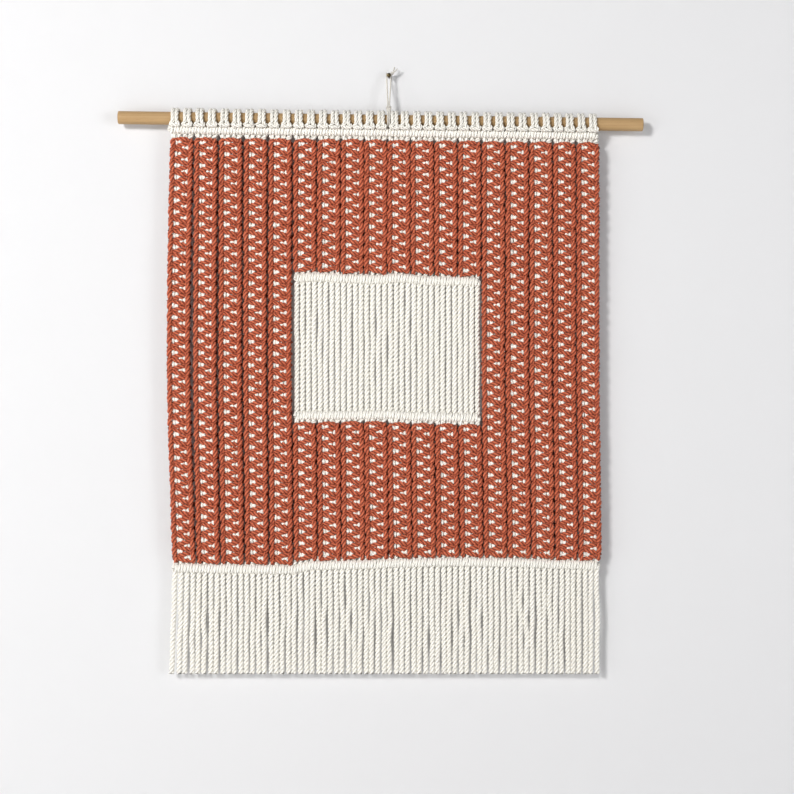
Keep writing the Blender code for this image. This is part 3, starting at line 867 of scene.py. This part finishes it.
# The turn that draws the two halves together, in widths of the cord: to the right, back, up.
HITCH_TURN = ((0.20, 1.20, -1.00), (0.55, 0.00, 0.00), (0.20, -1.00, 0.25))
KNOT_AT = (0.0041, -0.0093, 0.0029)
KNOT_SIZE = 0.00052
KNOT_CORD = 0.00085
KNOT_ROWS = 25
KNOT_DEPTH = 1.4
FREE_ENDS = ((0.0058, -0.0012, 0.0050), (0.0024, 0.0006, 0.0070))
FREE_END_BEND = (0.0004, -0.0004, -0.0004)
FREE_END_ROWS = 4


def hanging_loop():
    """The closed loop: over the nail, down, round the dowel on both sides, and hitched behind itself."""
    over = THIN_RADIUS + NAIL_RADIUS + THIN_CLEARANCE
    around = THIN_RADIUS + DOWEL_RADIUS + THIN_CLEARANCE
    beside = 2 * THIN_RADIUS + THIN_CLEARANCE
    strand_x = THIN_MIDDLE_X + THIN_OFFSET
    dowel_z = dowel_height(THIN_MIDDLE_X)
    hitch_z = dowel_z + HITCH_RISE
    turns = [math.radians(degrees) for degrees in OVER_NAIL]
    nail = [(over * math.sin(turn), THIN_NAIL_Y, over * math.cos(turn)) for turn in turns]
    half = [(strand_x, HITCH_Y, hitch_z + rise) for rise in (HITCH_STRAIGHT, -HITCH_STRAIGHT / 2)]
    for degrees in ROUND_DOWEL:
        turn = math.radians(degrees)
        half.append((strand_x, HANG_Y - around * math.cos(turn), dowel_z + around * math.sin(turn)))
    for right, back, up in HITCH_TURN:
        half.append((strand_x + right * beside, HITCH_Y + back * beside, hitch_z + up * beside))
    other = [(2 * THIN_MIDDLE_X - x, y, z) for x, y, z in half]
    other_nail = [(-x, y, z) for x, y, z in nail[1:]]
    return nail + half + other[::-1] + other_nail[::-1] + nail[:1]


def hanging_knot():
    """A small overhand knot, drawn tight."""
    turns = np.linspace(0, 2 * math.pi, KNOT_ROWS)
    across = np.sin(turns) + 2 * np.sin(2 * turns)
    up = np.cos(turns) - 2 * np.cos(2 * turns)
    back = -KNOT_DEPTH * np.sin(3 * turns)
    return np.array(KNOT_AT) + KNOT_SIZE * np.column_stack([across, back, up])


def free_end(reach):
    """A short end of the thin cord that stands out of the knot, slightly bent."""
    shares = np.linspace(0, 1, FREE_END_ROWS)[:, None]
    bend = 4 * shares * (1 - shares) * np.array(FREE_END_BEND)
    return np.array(KNOT_AT) + shares * np.array(reach) + bend


# ---- Turned pieces -------------------------------------------------------------------------------------

DOWEL_EDGE = 0.0009  # radius of the rounded edge at each end
DOWEL_EDGE_STEPS = 4
DOWEL_RINGS = np.linspace(0.02, 0.98, 25)  # along the dowel, as shares of its length
DOWEL_SIDES = 64
NAIL_SIDES = 32
SHARP_EDGE = math.radians(50)
NAIL_PROFILE = (
    # distance, radius
    (0.0000, 0.00120),
    (0.0060, 0.00120),
    (0.0119, 0.00120),
    (0.0121, 0.00130),
    (0.0122, 0.00190),
    (0.0124, 0.00232),
    (0.0128, 0.00248),
    (0.0132, 0.00248),
    (0.0136, 0.00225),
    (0.0139, 0.00175),
    (0.01405, 0.00100),
    (0.0141, 0.00035),
)


def turned_piece(name, start, direction, profile, sides, material):
    """A round piece from its profile of distances along a line and radii, closed at both ends."""
    along = Vector(direction).normalized()
    across = along.orthogonal().normalized()
    beside = along.cross(across)
    points, faces = [], []
    for at, radius in profile:
        for side in range(sides):
            turn = 2 * math.pi * side / sides
            out = across * math.cos(turn) + beside * math.sin(turn)
            points.append(tuple(Vector(start) + along * at + out * radius))
    for ring in range(len(profile) - 1):
        for side in range(sides):
            first, after = ring * sides + side, ring * sides + (side + 1) % sides
            faces.append((first, after, after + sides, first + sides))
    faces.append(tuple(range(sides))[::-1])
    faces.append(tuple(range(len(points) - sides, len(points))))
    mesh = bpy.data.meshes.new(name)
    mesh.from_pydata(points, [], faces)
    mesh.validate()
    mesh.shade_smooth()
    mesh.set_sharp_from_angle(angle=SHARP_EDGE)
    mesh.materials.append(material)
    return add_piece(name, mesh)


# ---- Operators -----------------------------------------------------------------------------------------


class HANGING_OT_dowel(bpy.types.Operator):
    """Make the round beech dowel with softly rounded ends"""

    bl_idname = "hanging.dowel"
    bl_label = "Dowel"

    def execute(self, context):
        axis = DOWEL_RIGHT - DOWEL_LEFT
        length = float(np.linalg.norm(axis))
        edge = []
        for step in range(DOWEL_EDGE_STEPS + 1):
            turn = math.pi / 2 * step / DOWEL_EDGE_STEPS
            inward, down = DOWEL_EDGE * (1 - math.cos(turn)), DOWEL_EDGE * (1 - math.sin(turn))
            edge.append((inward, DOWEL_RADIUS - down))
        middle = [(length * share, DOWEL_RADIUS) for share in DOWEL_RINGS]
        profile = edge + middle + [(length - at, radius) for at, radius in edge[::-1]]
        beech = planed_beech(context.scene.hanging_colours.beech)
        dowel = turned_piece("beech_dowel", DOWEL_LEFT, axis, profile, DOWEL_SIDES, beech)
        stands_for(dowel, "dowel")
        return {"FINISHED"}


class HANGING_OT_nail(bpy.types.Operator):
    """Make the round-headed nail in worn bronze"""

    bl_idname = "hanging.nail"
    bl_label = "Nail"

    def execute(self, context):
        bronze = worn_bronze(context.scene.hanging_colours.bronze)
        nail = turned_piece("round_headed_nail", (0, 0, 0), (0, -1, 0), NAIL_PROFILE, NAIL_SIDES, bronze)
        stands_for(nail, "wall_nail")
        return {"FINISHED"}


class HANGING_OT_cord(bpy.types.Operator):
    """Loop the thin cord over the nail, hitch it round the dowel, and tie it with its two free ends"""

    bl_idname = "hanging.cord"
    bl_label = "Hanging cord"

    def execute(self, context):
        skein = Skein(context.scene.hanging_cords, SEEDS["hanging cord"])
        lengths = [(hanging_loop(), THIN_RADIUS), (hanging_knot(), KNOT_CORD)]
        lengths += [(free_end(reach), KNOT_CORD) for reach in FREE_ENDS]
        for points, radius in lengths:
            skein.cord(with_radius(points, radius), THIN_SPACING, lay=THIN_LAY)
        stands_for(skein.build("hanging_cord_and_knot", cotton("thin")), "hanging_cord")
        return {"FINISHED"}


class HANGING_OT_heading(bpy.types.Operator):
    """Make the lark's heads over the dowel and the first bar of hitches"""

    bl_idname = "hanging.heading"
    bl_label = "Heading"

    def execute(self, context):
        skein = Skein(context.scene.hanging_cords, SEEDS["heading"])
        half = np.array(LARKS_HEAD)
        rows = np.vstack([half * (-1, 1, 1), half[::-1]])
        loops = heading_loops()
        for x in loops + np.interp(loops, *zip(*LOOP_LEAN)):
            stray = skein.random.normal(0, LOOP_STRAY, rows.shape)
            points = (x, HANG_Y, dowel_height(x)) + rows * (1, -1, 1) + stray
            skein.cord(with_radius(points, LOOP_RADIUS), samples=LOOP_SAMPLES)
        strands = 2 * len(loops)
        hitched_bar(skein, heading_line(), HITCH_TURNS * strands, HEADING_HALF_HEIGHT, HEADING_FORWARD)
        piece = skein.build("larks_heads_and_first_bar", cotton("cream"), CLOTH_LEAN)
        stands_for(piece, "heading")
        return {"FINISHED"}


def points_on(line, places):
    """Places along a bar, each with the height of its middle line."""
    return [(x, np.interp(x, *line)) for x in places]


def share_of(strands, column):
    """The strands of one column, out of those of all the columns beside each other."""
    return strands[column * len(STRAND_STEPS) : (column + 1) * len(STRAND_STEPS)]


class HANGING_OT_columns(bpy.types.Operator):
    """Tie the eighteen columns of square knots round their cream strands"""

    bl_idname = "hanging.columns"
    bl_label = "Columns"

    def execute(self, context):
        fringe_x, _, _, fringe_line = fringe_strands()
        window_x, upper, lower = window_strands()
        for column in range(COLUMNS):
            label = f"{column + 1:02d}"
            names = [name for name in NODES if name.startswith("sennit") and name.endswith(label)]
            for name in sorted(names, reverse=True):
                top_x = column_line(name)[1][0]
                above = points_on(heading_line(), [top_x + step * HEADING_SPREAD for step in STRAND_STEPS])
                below = points_on(fringe_line, share_of(fringe_x, column))
                ends_left = column in LEFT_ENDING_AT_FRINGE
                number = column
                if "upper" in name:
                    below = points_on(upper, share_of(window_x, column - FIRST_WINDOW_COLUMN))
                    ends_left = column in LEFT_ENDING_AT_WINDOW
                    number = column + UPPER_COLUMN_SEED
                if "lower" in name:
                    above = points_on(lower, share_of(window_x, column - FIRST_WINDOW_COLUMN))
                    number = column + LOWER_COLUMN_SEED
                column_piece(name, above, below, ends_left, number)
        return {"FINISHED"}


class HANGING_OT_window(bpy.types.Operator):
    """Make the open panel: two bars of hitches and the bare strands between them"""

    bl_idname = "hanging.window"
    bl_label = "Window"

    def execute(self, context):
        cords = context.scene.hanging_cords
        skein = Skein(cords, SEEDS["window"])
        strands, upper, lower = window_strands()
        for line in (upper, lower):
            hitched_bar(skein, line, HITCH_TURNS * len(strands), BAR_HALF_HEIGHT)
        for x in strands:
            top = (x, HANG_Y, np.interp(x, *upper) - STRAND_IN_BAR)
            bottom = (x, HANG_Y, np.interp(x, *lower) + STRAND_IN_BAR)
            bare_strand(skein, top, bottom, cords.bare_radius, sag=0.0004)
        stands_for(skein.build("window_cords", cotton("cream"), CLOTH_LEAN), "window")
        return {"FINISHED"}


class HANGING_OT_fringe(bpy.types.Operator):
    """Make the last bar of hitches and the fringe"""

    bl_idname = "hanging.fringe"
    bl_label = "Fringe"

    def execute(self, context):
        cords = context.scene.hanging_cords
        skein = Skein(cords, SEEDS["fringe"])
        roots, ends, end_z, line = fringe_strands()
        hitched_bar(skein, line, HITCH_TURNS * len(roots), BAR_HALF_HEIGHT)
        for root, end in zip(roots, ends):
            top = (root, HANG_Y, np.interp(root, *line) - STRAND_IN_BAR)
            bare_strand(skein, top, (end, HANG_Y, end_z), cords.bare_radius, sag=0.0005)
        stands_for(skein.build("fringe_cords", cotton("cream"), CLOTH_LEAN), "fringe")
        return {"FINISHED"}


LIGHTS = (
    # name, place, size, colour
    ("key", (-1.45, -2.5, 0.55), 0.7, (1.0, 0.99, 0.975)),
    ("fill", (-2.3, -1.7, -0.7), 1.2, (0.97, 0.985, 1.0)),
    ("side", (2.0, -2.0, -0.3), 1.2, (0.98, 0.985, 1.0)),
    ("back", (-0.8, 2.4, 0.9), 2.0, (1.0, 1.0, 1.0)),
)
LIGHTS_AIM = Vector((0, HANG_Y, -0.33))
SENSOR_WIDTH = 36.0  # millimetres
BACKDROP_Y = 0.0004  # just behind the nail's flat back
BACKDROP_HALF_WIDTH = 3
BACKDROP_TOP = 2.2
FLOOR_HALF_WIDTH = 4
SKY = (0.93, 0.95, 1.0, 1)
SKY_STRENGTH = 0.12


class HANGING_OT_stage(bpy.types.Operator):
    """Set up the camera, the pale backdrop and floor, and the soft lights"""

    bl_idname = "hanging.stage"
    bl_label = "Stage"

    def execute(self, context):
        scene = context.scene
        stage = scene.hanging_stage
        camera = bpy.data.cameras.new("camera")
        camera.sensor_width = SENSOR_WIDTH
        camera.lens = SENSOR_WIDTH * stage.distance / stage.view_width
        place = (stage.middle_x, HANG_Y - stage.distance, stage.middle_z)
        scene.camera = self.put("camera", camera, place)
        scene.camera.rotation_euler = (math.pi / 2, 0, 0)
        self.backdrop(stage.floor_height)
        self.floor(stage.floor_height)
        for name, place, size, colour in LIGHTS:
            light = bpy.data.lights.new(name + "_light", "AREA")
            light.shape = "DISK"
            light.size = size
            light.energy = getattr(stage, name + "_power")
            light.color = colour
            lamp = self.put(name + "_light", light, place)
            lamp.rotation_euler = (LIGHTS_AIM - Vector(place)).to_track_quat("-Z", "Y").to_euler()
        world = bpy.data.worlds.new("world")
        world.use_nodes = True
        background = world.node_tree.nodes["Background"]
        background.inputs["Color"].default_value = SKY
        background.inputs["Strength"].default_value = SKY_STRENGTH
        scene.world = world
        scene.view_settings.view_transform = "Standard"
        return {"FINISHED"}

    def put(self, name, data, place=(0, 0, 0)):
        thing = bpy.data.objects.new(name, data)
        thing.location = place
        bpy.context.scene.collection.objects.link(thing)
        return thing

    def plane(self, name, corners, material):
        mesh = bpy.data.meshes.new(name)
        mesh.from_pydata(corners, [], [(0, 1, 2, 3)])
        mesh.materials.append(material)
        thing = self.put(name, mesh)
        return thing

    def backdrop(self, floor_height):
        """A pale board behind the hanging that only shows from the front."""
        finish = Finish("backdrop")
        paint = {"Base Color": (0.71, 0.71, 0.72), "Roughness": 0.9, "Specular IOR Level": 0.1}
        material = finish.surface(paint)
        back = finish.add("ShaderNodeNewGeometry").outputs["Backfacing"]
        clear = finish.add("ShaderNodeBsdfTransparent").outputs["BSDF"]
        sides = {0: back, 1: finish.shader.outputs["BSDF"], 2: clear}
        choice = finish.add("ShaderNodeMixShader", sides).outputs["Shader"]
        finish.give(finish.nodes["Material Output"].inputs["Surface"], choice)
        low, high = floor_height, BACKDROP_TOP
        places = [(-1, low), (1, low), (1, high), (-1, high)]
        corners = [(side * BACKDROP_HALF_WIDTH, BACKDROP_Y, z) for side, z in places]
        self.plane("backdrop", corners, material).visible_shadow = False

    def floor(self, height):
        paint = {"Base Color": (0.80, 0.80, 0.79), "Roughness": 0.85}
        places = [(-1, -1), (1, -1), (1, 1), (-1, 1)]
        corners = [(x * FLOOR_HALF_WIDTH, y * FLOOR_HALF_WIDTH, height) for x, y in places]
        self.plane("floor", corners, Finish("floor").surface(paint))


class HANGING_PT_panel(bpy.types.Panel):
    """Sizes, colours and steps of the hanging"""

    bl_label = "Hanging"
    bl_space_type = "VIEW_3D"
    bl_region_type = "UI"
    bl_category = "Hanging"

    def draw(self, context):
        scene = context.scene
        for group in (scene.hanging_cords, scene.hanging_colours, scene.hanging_stage):
            box = self.layout.box()
            for name in group.bl_rna.properties.keys():
                if name not in ("rna_type", "name"):
                    box.prop(group, name)
        for step in STEPS:
            self.layout.operator(step.bl_idname)


STEPS = (
    HANGING_OT_stage,
    HANGING_OT_dowel,
    HANGING_OT_nail,
    HANGING_OT_cord,
    HANGING_OT_heading,
    HANGING_OT_columns,
    HANGING_OT_window,
    HANGING_OT_fringe,
)
CLASSES = (CordSettings, ColourSettings, StageSettings, *STEPS, HANGING_PT_panel)


def register():
    for item in CLASSES:
        bpy.utils.register_class(item)
    bpy.types.Scene.hanging_cords = PointerProperty(type=CordSettings)
    bpy.types.Scene.hanging_colours = PointerProperty(type=ColourSettings)
    bpy.types.Scene.hanging_stage = PointerProperty(type=StageSettings)


def unregister():
    del bpy.types.Scene.hanging_stage
    del bpy.types.Scene.hanging_colours
    del bpy.types.Scene.hanging_cords
    for item in reversed(CLASSES):
        bpy.utils.unregister_class(item)


def main():
    register()
    bpy.ops.hanging.stage()
    bpy.ops.hanging.dowel()
    bpy.ops.hanging.nail()
    bpy.ops.hanging.cord()
    bpy.ops.hanging.heading()
    bpy.ops.hanging.columns()
    bpy.ops.hanging.window()
    bpy.ops.hanging.fringe()


if __name__ == "__main__":
    main()
